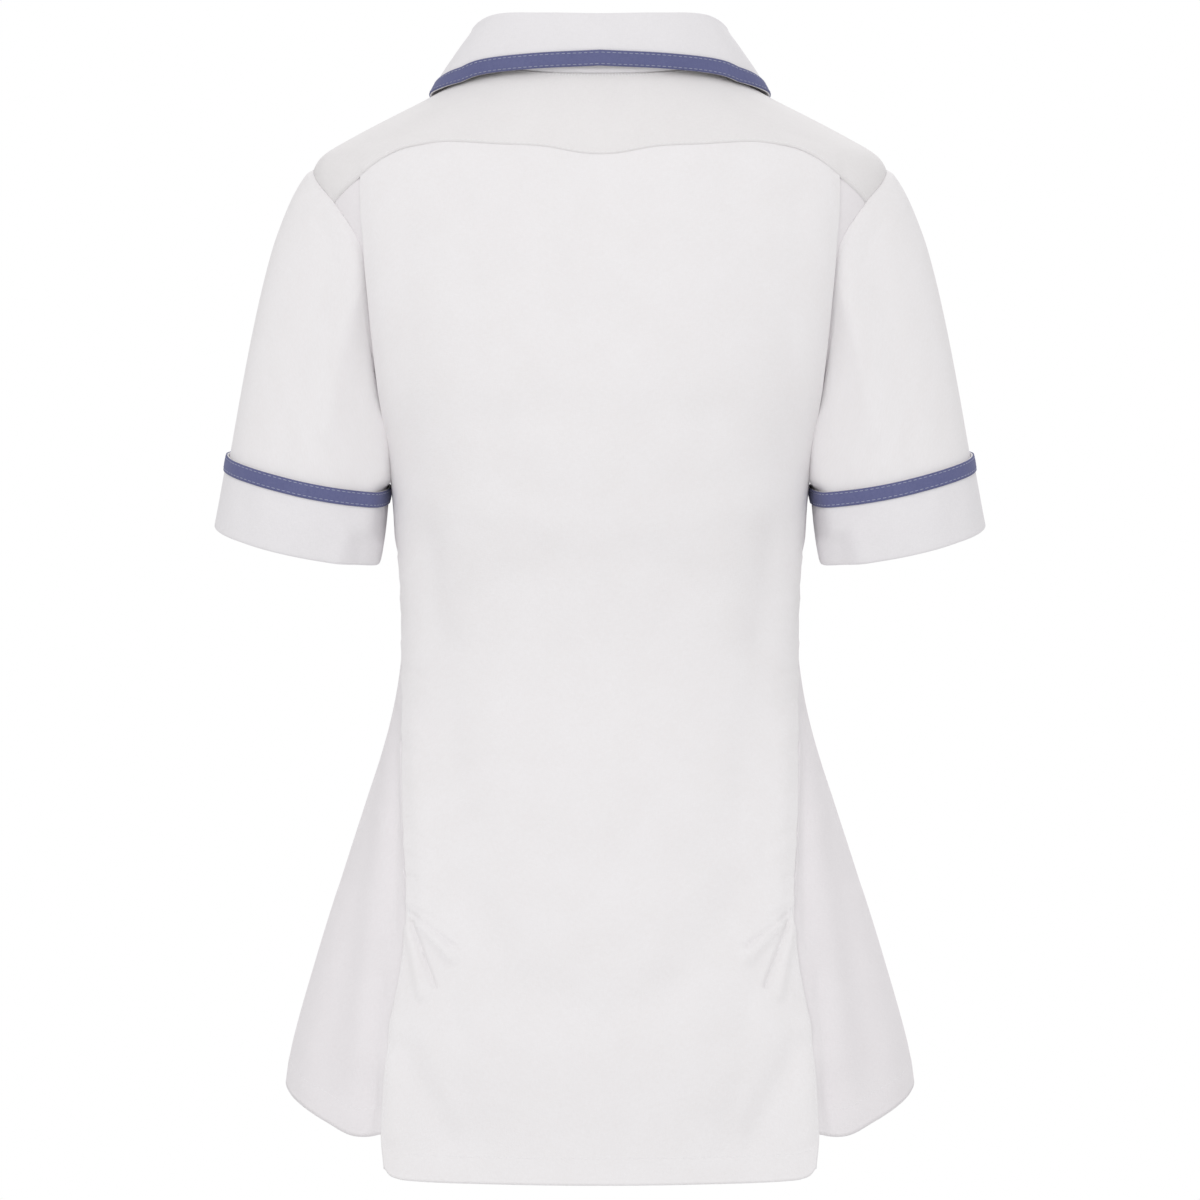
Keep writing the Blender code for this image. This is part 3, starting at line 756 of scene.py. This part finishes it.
def back_grid():
    v = np.concatenate((np.linspace(0.0, 0.70, 172)[:-1], np.linspace(0.70, 0.85, 94)[:-1],
                        np.linspace(0.85, 0.966, 28)[:-1], np.linspace(0.966, 1.0, 13)))[:, None]
    rows = len(v)
    near = np.concatenate((np.linspace(0.0, 34.0, 34)[:-1], np.linspace(34.0, RISE_START, 8)))
    middle = np.linspace(0.0, 1.0, 21)[1:]
    width = BACK.width(v)
    distances = np.concatenate((
        np.broadcast_to(near[None, :], (rows, len(near))),
        RISE_START + (width - RISE_START) * middle[None, :],
    ), axis=1)
    flat, _ = BACK.cloth(distances, v)
    turn, z = BACK.from_fold(np.zeros_like(v), v)
    edge = figure(turn, z)
    across = unit(figure(turn + TURN_STEP, z) - edge)
    normal = outward(turn, z)
    lift = back_relief(edge[..., 0], z)[..., None]
    angle = np.linspace(math.pi / 2, -math.pi / 2, 7)[None, 1:, None]
    centre = ((fold_out(v) + return_out(v)) / 2)[..., None]
    radius = ((fold_out(v) - return_out(v)) / 2)[..., None]
    edge = edge + normal * lift
    bend = edge + across * radius * np.cos(angle) + normal * (centre + radius * np.sin(angle))
    inside = np.linspace(0.0, PLEAT_RETURN, 5)[None, 1:] * np.ones_like(v)
    turn, z = BACK.from_fold(inside, v)
    under = on_figure(turn, z, return_out(v) + back_relief(figure(turn, z)[..., 0], z))
    left = np.concatenate((under[:, ::-1], bend[:, ::-1], flat), axis=1)
    right = mirror(left[:, :-1][:, ::-1], -1.0)
    return np.concatenate((left, right), axis=1)


def hem_line(flat):
    """The cloth's places and normals a hem's depth above the tail's edge, at shares of its half width."""
    step = 0.05
    low = figure(*BACK.at(flat, np.ones_like(flat)))
    higher = figure(*BACK.at(flat, np.full_like(flat, 1.0 - step)))
    v = 1.0 - HEM_DEPTH * step / np.linalg.norm(low - higher, axis=1)
    place, normal = BACK.cloth((1 - np.abs(flat)) * BACK.width(v), v)
    side = np.column_stack((np.where(flat < 0, -1.0, 1.0), np.ones((len(flat), 2))))
    return place * side, normal * side


def build_back():
    points = back_grid()
    piece = shell("back_panel", points, WHITE)
    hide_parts("back_centre")
    lines = [on_cloth(hem_line(np.linspace(-0.985, 0.985, 120)))]
    tail_side = BACK.cloth(np.full(60, 1.2), np.linspace(0.775, 0.97, 60))
    across_vent = BACK.cloth(np.linspace(3.5, 33.0, 30), np.linspace(0.752, 0.788, 30))
    tack = [BACK.cloth(np.array((0.9, 3.1)), np.full(2, 0.743 + 0.00075 * row)) for row in range(14)]
    for side in (1.0, -1.0):
        for line in (tail_side, across_vent, *tack):
            lines.append(on_cloth(line, side))
    stitches("stitches_back", lines, THREAD_WHITE)


# Side backs, with the pleat and vent underlay

# How much of the fold's length the side back runs along, which ends above the tail's hem
SIDE_SHARE_OF_FOLD = 29 / 30
# Half the gap at the side seam, in radians round the figure
SEAM_TURN = 0.0003


def side_lines():
    corner = tuple(ARM_LOOP.at(ARM_BACK + SEAM_LAP / ARM_LOOP.total))
    start = tuple(BACK.fold.at(0.0))
    top = Line([start, ((start[0] + corner[0]) / 2, (start[1] + corner[1]) / 2), corner])
    left = Line([tuple(BACK.fold.at(SIDE_SHARE_OF_FOLD * step / 40)) for step in range(41)])
    inner_hem = tuple(left.at(1.0))
    hem = [inner_hem]
    for step in range(1, 7):
        turn = inner_hem[0] + (math.pi / 2 - inner_hem[0]) * step / 6
        hem.append((turn - (SEAM_TURN if step == 6 else 0.0), float(side_hem(turn))))
    bottom = Line(hem)
    arm = [tuple(ARM_LOOP.at(ARM_BACK * (1 - share / 8))) for share in range(9)]
    arm[0] = corner
    low = ARMHOLE[0][1]
    end = tuple(bottom.at(1.0))
    arm[-1] = (end[0], low)
    seam = Line([(end[0], low + (end[1] - low) * share / 10) for share in range(11)])
    right = Chain((Line(arm), 8 / 29), (seam, 21 / 29))
    return top, bottom, left, right


def side_cloth(u, v):
    turn, z = patch(*side_lines(), u, v)
    place = figure(turn, z)
    normal = outward(turn, z)
    x = place[..., 0]
    out = CLOTH_OUT + relief(SIDE_RELIEF, x, z) * smooth_step(u * 8) * smooth_step((1 - u) * 6)
    out = out + relief(PLEAT_ROLL, x, z) * smooth_step(u * 40) + relief(UNDERARM, x, z)
    out = out + hem_step((v - 1.0) * SIDE_LENGTH + HEM_DEPTH)
    return place + normal * out[..., None], normal


def build_side(side, label):
    v = np.linspace(0.0, 1.0, 220)[:, None]
    under = np.linspace(PLEAT_UNDERLAY, 0.0, 9)[None, :-1] * np.ones_like(v)
    turn, z = BACK.from_fold(under, v * SIDE_SHARE_OF_FOLD)
    dip = np.minimum(back_relief(figure(turn, z)[..., 0], z), 0.0)
    inner = on_figure(turn, z, CLOTH_OUT + dip)
    u = np.linspace(0.0, 1.0, 38)[None, :] ** 1.5
    outer, _ = side_cloth(u, v)
    points = mirror(np.concatenate((inner, outer), axis=1), side)
    # the side backs wear the darker copy of the white cloth, painted shade
    piece = shell("side_panel_" + label, points, WHITE_SIDE_PAINTED_SHADE)
    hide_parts("side_back_" + label)
    u = np.linspace(0.02, 1.0, 60)
    hem = side_cloth(u, np.full_like(u, 1.0 - HEM_DEPTH / SIDE_LENGTH))
    stitches("stitches_side_" + label, [on_cloth(hem, side)], THREAD_WHITE)


# Yoke


def yoke_lines():
    seam = half_of(points_at(YOKE_SEAM))
    arm = Piece(ARM_LOOP, ARM_BACK, ARM_FRONT)
    bottom = Chain((seam, 0.75), (arm, 0.25))
    top = Piece(NECK, 0.0, NECK_AT_YOKE)
    centre = Line([tuple(bottom.at(0.0)), tuple(top.at(0.0))])
    start = bottom.at(1.0)
    end = top.at(1.0)
    front = Line([tuple(start + (end - start) * share / 4) for share in range(5)])
    return bottom, top, centre, front


def yoke_cloth(u, v):
    turn, z = patch(*yoke_lines(), u, v)
    normal = outward(turn, z)
    place = figure(turn, z)
    # the lower edge rises over the folds, 104 to 158 mm from the centre
    x = place[..., 0]
    over_fold = smooth_step((x - 104.0) / 40.0) * smooth_step((158.0 - x) / 7.0)
    lift = (SEAM_LIFT + 1.8 * over_fold) * (1 - smooth_step(v * 5)) * smooth_step((0.76 - u) * 25)
    return place + normal * (CLOTH_OUT + lift)[..., None], normal


def build_yoke():
    u = np.linspace(0.0, 1.0, 90)[None, :]
    v = np.linspace(0.0, 1.0, 36)[:, None]
    half, _ = yoke_cloth(u, v + 0 * u)
    # the yoke wears the darker copy of the white cloth, painted shade
    piece = shell("yoke_cloth", whole(half), WHITE_YOKE_PAINTED_SHADE)
    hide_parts("yoke")
    halves = [
        yoke_cloth(np.linspace(0.0, 0.745, 90), np.full(90, 0.025)),
        yoke_cloth(np.linspace(0.22, 0.6, 60), np.full(60, 0.975)),
    ]
    # the upright stitches that hold the neck binding on either side of centre back
    for step in range(15):
        halves.append(yoke_cloth(np.full(2, 0.010 + 0.0145 * step), np.array((0.992, 0.955))))
    lines = [on_cloth(half, side) for half in halves for side in (1.0, -1.0)]
    stitches("stitches_yoke", lines, THREAD_WHITE)


# Fronts, the right lapped over the left


def front_lines():
    gap = math.radians(0.05)
    start = ARM_LOOP.at(ARM_FRONT)
    end = NECK.at(NECK_AT_YOKE)
    top = Line([tuple(start + (end - start) * share / 4 + (gap, -0.1)) for share in range(5)])
    arm_points = [tuple(ARM_LOOP.at(ARM_FRONT + (1 - ARM_FRONT) * share / 8)) for share in range(9)]
    arm_points[0] = tuple(top.at(0.0))
    low = ARMHOLE[0][1]
    seam_turn = math.pi / 2 + SEAM_TURN
    hem_z = float(side_hem(math.pi / 2))
    arm = Line(arm_points)
    side_seam = Line([(seam_turn, low + (hem_z - low) * share / 10) for share in range(11)])
    left = Chain((arm, 9 / 28), (side_seam, 19 / 28))
    neck_points = [tuple(NECK.at(NECK_AT_YOKE + (1 - NECK_AT_YOKE) * share / 8)) for share in range(9)]
    neck_points[0] = tuple(top.at(1.0))
    neck_z = neck_points[-1][1]
    centre_hem = float(side_hem(math.pi))

    def centre_turn(z):
        return math.pi + float(turn_at(FRONT_OVERLAP, z))

    neck_points.append((centre_turn(neck_z - 8), neck_z - 6))
    top_z = neck_z - 6
    heights = [top_z + (centre_hem - top_z) * share / 10 for share in range(11)]
    centre = Line([(centre_turn(z), z) for z in heights])
    right = Chain((Line(neck_points), 6 / 28), (centre, 22 / 28))
    hem_end = centre.at(1.0)
    hem_points = []
    for share in range(9):
        turn = seam_turn + (hem_end[0] - seam_turn) * share / 8
        hem_points.append((turn, float(side_hem(min(turn, math.pi)))))
    hem_points[-1] = tuple(hem_end)
    return top, Line(hem_points), left, right


def front_cloth(u, v, side):
    turn, z = patch(*front_lines(), u, v)
    place = figure(turn, z)
    out = CLOTH_OUT + relief(FRONT_RELIEF, place[..., 0], z) * smooth_step(v * 6)
    out = out + relief(UNDERARM, place[..., 0], z)
    if side > 0:
        # the left front's edge drops under the right front, from 34 mm off the centre
        reach = (turn - math.pi) * of_body("half_width", z) + 34.0
        out = out - OVERLAP_DROP * smooth_step(reach / 16.0)
    out = out + hem_step((v - 1.0) * FRONT_LENGTH + HEM_DEPTH)
    normal = outward(turn, z)
    return place + normal * out[..., None], normal


def build_front(side, label):
    u = np.linspace(0.0, 1.0, 84)[None, :]
    v = np.linspace(0.0, 1.0, 226)[:, None]
    points, _ = front_cloth(u + 0 * v, v + 0 * u, side)
    points = mirror(points, side)
    piece = shell("front_panel_" + label, points, WHITE)
    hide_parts("front_" + label)
    u = np.linspace(0.0, 0.985, 120)
    hem = front_cloth(u, np.full_like(u, 1.0 - HEM_DEPTH / FRONT_LENGTH), side)
    lines = [on_cloth(hem, side)]
    if side < 0:
        # the placket's two rows of stitches, on the front that shows
        v = np.linspace(0.235, 0.995, 150)
        for inset in (0.012, 0.170):
            lines.append(on_cloth(front_cloth(np.full_like(v, 1.0 - inset), v, side), side))
    stitches("stitches_front_" + label, lines, THREAD_WHITE)


# Sleeves and their turned-up cuffs


def hem_ring(share):
    """The sleeve's hem, an oval across the sleeve's axis, from under the arm round by the back."""
    out_axis = unit(np.array((0.978, 0.0, 0.208)))
    back_axis = unit(np.cross(SLEEVE_AXIS, out_axis))
    if back_axis[1] < 0:
        back_axis = -back_axis
    angle = 2 * math.pi * np.asarray(share)[..., None]
    across = out_axis * HEM_HALF_ACROSS * np.cos(angle)
    return HEM_CENTRE - across + back_axis * HEM_HALF_DEEP * np.sin(angle)


def sewn(down):
    """1 at the armhole seam, where the sleeve comes down to the body's panels, and 0 a little below it."""
    return 1.0 - smooth_step(down * SLEEVE_LENGTH / SEWN_DEPTH)


def sleeve_middle(share, down):
    """The middle of the sleeve's cloth: 0 under the arm, 0.25 at the back, 0.5 outside, 0.75 in front."""
    share, down = np.broadcast_arrays(np.asarray(share, dtype=float), np.asarray(down, dtype=float))
    place = ARM_LOOP.at(share % 1.0)
    start = on_figure(place[..., 0], place[..., 1], SLEEVE_OUT - 1.5 * sewn(down))
    end = hem_ring(share)
    angle = 2 * math.pi * share
    outer = (1 - np.cos(angle)) / 2
    backward = np.sin(angle)
    leave = np.stack((
        -14.0 + 110.0 * outer,
        20.0 * backward,
        -80.0 - 10.0 * outer - 15.0 * backward * backward,
    ), axis=-1)
    arrive = SLEEVE_AXIS * (80.0 + 120.0 * outer)[..., None]
    return cubic(start, leave, end, arrive, down[..., None])


def sleeve_relief(share, down):
    size = np.array((SLEEVE_GIRTH, SLEEVE_LENGTH, SLEEVE_GIRTH, SLEEVE_LENGTH, 1.0, 1.0))
    total = relief(np.array(SLEEVE_RELIEF) * size, share * SLEEVE_GIRTH, down * SLEEVE_LENGTH)
    return total * smooth_step(down * 8)


def sleeve_point(share, down, out):
    around = sleeve_middle(share + 0.01, down) - sleeve_middle(share - 0.01, down)
    low = np.minimum(down + 0.01, 1.0)
    along = sleeve_middle(share, low) - sleeve_middle(share, low - 0.02)
    normal = unit(np.cross(around, along))
    height = np.asarray(out) + sleeve_relief(share % 1.0, down)
    return sleeve_middle(share, down) + normal * height[..., None], normal


SLEEVE_SHARES = np.linspace(0.0, 1.0, 181)
DOWN_SHARES = np.linspace(0.0, 1.0, 201)
SLEEVE_PLACES = sleeve_middle(SLEEVE_SHARES[None, :], DOWN_SHARES[:, None])
ABOVE_HEM = np.linalg.norm(SLEEVE_PLACES - SLEEVE_PLACES[-1:], axis=2)


def down_from_hem(share, distance):
    """How far down the sleeve a place is that lies this many millimetres above the hem."""
    found = np.array([np.interp(-distance, -column, DOWN_SHARES) for column in ABOVE_HEM.T])
    return np.interp(share, SLEEVE_SHARES, found)


def against_body(points, share, down):
    """The cloth under the arm, drawn in from where it would hang free to lie beside the body."""
    distance, away = off_body(points)
    beside = smooth_step((0.23 - np.minimum(share, 1.0 - share)) / 0.14)
    top = down_from_hem(share[0], CUFF_DEPTH)[None, :]
    loose = smooth_step(down / 0.04) * smooth_step((top - down) / (top * 0.13))
    near = CLOTH_OUT + SHELL + 0.05 + relief(UNDERARM, points[..., 0], points[..., 2])
    return points - away * (np.clip(distance - near, -1.5, 7.0) * beside * loose)[..., None]


def build_sleeve(side, label):
    share = np.linspace(0.0, 1.0, 169)[None, :]
    down = np.linspace(0.0, 1.0, 90)[:, None] ** 1.15
    points, _ = sleeve_point(share + 0 * down, down + 0 * share, 0.0)
    points = mirror(against_body(points, share, down), side)
    piece = shell("sleeve_cloth_" + label, points, WHITE, closed=True)
    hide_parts("sleeve_" + label)

    share = np.linspace(0.0, 1.0, 169)
    top = down_from_hem(share, CUFF_DEPTH)
    steps = np.linspace(0.0, 1.0, 24)[:, None]
    down = top[None, :] + (1.0 - top[None, :]) * steps
    outer, normal = sleeve_point(share[None, :] + 0 * down, down, CUFF_OUT)
    # the hem turns under the sleeve's end and a little way up inside
    last = outer[-1:]
    last_normal = normal[-1:]
    axis = unit(last - outer[-2:-1])
    angle = np.linspace(0.0, math.pi, 9)[1:, None, None]
    radius = CUFF_TURN_RADIUS
    bend = last - last_normal * radius * (1 - np.cos(angle)) + axis * radius * np.sin(angle)
    inside = down_from_hem(share, CUFF_TURN_IN)[None, :]
    inside = 1.0 - (1.0 - inside) * np.linspace(0.25, 1.0, 4)[:, None]
    inner, _ = sleeve_point(share[None, :] + 0 * inside, inside, CUFF_OUT - 2 * radius)
    points = mirror(np.concatenate((outer, bend, inner), axis=0), side)
    # the cuff wears the darker copy of the white cloth, painted shade
    piece = shell("cuff_cloth_" + label, points, WHITE_TRIM_PAINTED_SHADE, closed=True)
    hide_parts("cuff_" + label)

    low = down_from_hem(share, CUFF_DEPTH - CUFF_TAPE)
    steps = np.linspace(0.0, 1.0, 8)[:, None]
    down = top[None, :] + (low - top)[None, :] * steps
    lift = CUFF_OUT + 0.95 + 0.25 * np.sin(math.pi * steps)
    points, normal = sleeve_point(share[None, :] + 0 * down, down, lift + 0 * down)
    points = mirror(points, side)
    piece = shell("cuff_edging_" + label, points, BLUE, TAPE_SHELL, closed=True)
    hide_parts("cuff_tape_" + label)
    lines = []
    for inset in (CUFF_DEPTH - CUFF_TAPE + 1.6, CUFF_DEPTH - 1.4):
        down = down_from_hem(share, inset)
        place, normal = sleeve_point(share, down, CUFF_OUT + 1.0 + TAPE_SHELL / 2)
        lines.append((mirror(place, side), mirror(normal, side)))
    stitches("stitches_cuff_tape_" + label, lines, THREAD_PALE)


# Collar


def of_collar(column, share):
    return between(COLLAR, share, COLLAR_COLUMNS.index(column))


def clear_of_body(point, gap):
    """The points, moved straight out from the figure where they are less than this far above it."""
    for _ in range(4):
        distance, away = off_body(point)
        needed = np.where(point[..., 2] > 25.0, 0.0, np.maximum(gap - distance, 0.0))
        point = point + away * needed[..., None]
    return point


def collar_profile(share):
    """Key places of the collar's section at each share: seam, stand, roll, fall and edge."""
    place = NECK.at(share)
    seam = on_figure(place[..., 0], place[..., 1], np.full(share.shape, 0.9))
    roll = np.stack([of_collar(name, share) for name in ("roll_x", "roll_y", "roll_z")], axis=-1)
    edge = np.stack([of_collar(name, share) for name in ("edge_x", "edge_y", "edge_z")], axis=-1)
    edge = clear_of_body(edge, 3.0)
    away = unit((edge - roll) * np.array((1.0, 1.0, 0.0)))
    stand = unit(roll - seam)
    inner = roll - away * 2.4 - stand * 3.0
    outer = roll + away * 2.4 - np.array((0.0, 0.0, 2.6))
    fall = edge - outer
    length = np.linalg.norm(fall, axis=-1)[..., None]
    bow = away * 0.10 * length
    keys = [seam, (seam + inner) / 2, inner, roll - away * 1.5 - stand * 0.7, roll + away * 1.0, outer]
    tape_start = 1 - COLLAR_TAPE / length
    for step in (tape_start * 0.35, tape_start * 0.7, tape_start):
        keys.append(clear_of_body(outer + fall * step + bow * np.sin(math.pi * step), 3.0))
    keys.append(edge)
    return keys


def smooth_through(keys, each):
    """A smooth run through key places, with a number of steps between each pair."""
    keys = np.stack(keys, axis=0)
    steps = np.linalg.norm(np.diff(keys, axis=0), axis=-1).mean(axis=1)
    knots = np.concatenate(([0.0], np.cumsum(steps)))
    result = []
    for index in range(len(keys) - 1):
        before = keys[max(index - 1, 0)]
        start = keys[index]
        end = keys[index + 1]
        after = keys[min(index + 2, len(keys) - 1)]
        span = knots[index + 1] - knots[index]
        slope_start = (end - before) / (knots[index + 1] - knots[max(index - 1, 0)]) * span
        slope_end = (after - start) / (knots[min(index + 2, len(keys) - 1)] - knots[index]) * span
        count = each[index]
        for share in np.arange(count) / count:
            result.append(cubic(start, slope_start, end, slope_end, share))
    result.append(keys[-1])
    return np.stack(result, axis=0)


def build_collar():
    share = np.linspace(0.0, COLLAR_END, 130)
    steps = (6, 6, 3, 3, 3, 5, 5, 5, 5)
    half = smooth_through(collar_profile(share), steps)
    # the collar wears the darker copy of the white cloth, painted shade
    piece = shell("collar_cloth", whole(half), WHITE_TRIM_PAINTED_SHADE)
    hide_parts("collar")

    band = half[-6:]
    along = np.gradient(band, axis=1)
    down = np.gradient(band, axis=0)
    normal = unit(np.cross(along, down))
    toward = band * np.array((1.0, 1.0, 0.0)) + np.array((0.0, 0.0, 40.0))
    normal = normal * np.sign((normal * toward).sum(axis=-1, keepdims=True))
    lift = (0.85 + 0.25 * np.sin(math.pi * np.linspace(0.0, 1.0, 6)))[:, None, None]
    tape = band + normal * lift
    piece = shell("collar_edging", whole(tape), BLUE, TAPE_SHELL)
    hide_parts("collar_tape")
    lines = []
    for share_in in (0.14, 0.86):
        place = tape[0] + (tape[-1] - tape[0]) * share_in + normal[2] * (0.2 + TAPE_SHELL / 2)
        lines.append((place, normal[2]))
        lines.append((mirror(place, -1.0), mirror(normal[2], -1.0)))
    stitches("stitches_collar_tape", lines, THREAD_PALE)


# Floor, light and camera


def build_floor():
    half = 14.0
    front = -6.6
    corners = [(-half, front, 0), (half, front, 0), (half, half, 0), (-half, half, 0)]
    mesh = bpy.data.meshes.new("floor")
    mesh.from_pydata(corners, [], [(0, 1, 2, 3)])
    mesh.materials.append(FLOOR)
    floor = bpy.data.objects.new("floor", mesh)
    floor.location = (0.0, 0.0, -1.42)
    bpy.context.scene.collection.objects.link(floor)


def build_world():
    """White light from all round, which the camera sees a little brighter."""
    world = bpy.data.worlds.new("studio")
    bpy.context.scene.world = world
    world.use_nodes = True
    tree = world.node_tree
    back = tree.nodes["Background"]
    back.inputs["Color"].default_value = (1.0, 1.0, 1.0, 1.0)
    back.inputs["Strength"].default_value = 0.80
    seen = tree.nodes.new("ShaderNodeBackground")
    seen.inputs["Color"].default_value = (1.0, 1.0, 1.0, 1.0)
    seen.inputs["Strength"].default_value = 1.0
    path = tree.nodes.new("ShaderNodeLightPath")
    mix = tree.nodes.new("ShaderNodeMixShader")
    tree.links.new(path.outputs["Is Camera Ray"], mix.inputs["Fac"])
    tree.links.new(back.outputs["Background"], mix.inputs[1])
    tree.links.new(seen.outputs["Background"], mix.inputs[2])
    tree.links.new(mix.outputs["Shader"], tree.nodes["World Output"].inputs["Surface"])


def softbox(name, place, power):
    """A large soft light, aimed at the tunic's middle."""
    data = bpy.data.lights.new(name, "AREA")
    data.shape = "RECTANGLE"
    data.size = 2.2
    data.size_y = 1.6
    data.energy = power
    light = bpy.data.objects.new(name, data)
    bpy.context.scene.collection.objects.link(light)
    light.location = place
    aim = np.array((0.0, 0.0, -0.3)) - np.array(place)
    yaw = math.atan2(aim[0], -aim[1])
    pitch = math.atan2(math.hypot(aim[0], aim[1]), -aim[2])
    light.rotation_euler = (pitch, 0.0, yaw + math.pi)


def build_camera():
    """Behind the tunic and level with its middle, with the photo's frame at the tunic's distance."""
    distance = 4.0
    frame_width = 0.786
    camera = bpy.data.cameras.new("camera")
    camera.sensor_width = 36.0
    camera.lens = camera.sensor_width * distance / frame_width
    view = bpy.data.objects.new("camera", camera)
    bpy.context.scene.collection.objects.link(view)
    view.location = (0.0, distance, -0.3275)
    view.rotation_euler = (math.pi / 2, 0.0, math.pi)
    bpy.context.scene.camera = view
    bpy.context.scene.view_settings.view_transform = "Standard"


build_back()
build_yoke()
for side, label in ((1.0, "L"), (-1.0, "R")):
    build_side(side, label)
    build_front(side, label)
    build_sleeve(side, label)
build_collar()
build_floor()
build_world()
softbox("key", (0.3, 3.1, 1.25), 25.5)
softbox("fill_front", (-0.5, -2.5, 2.2), 30.0)
build_camera()
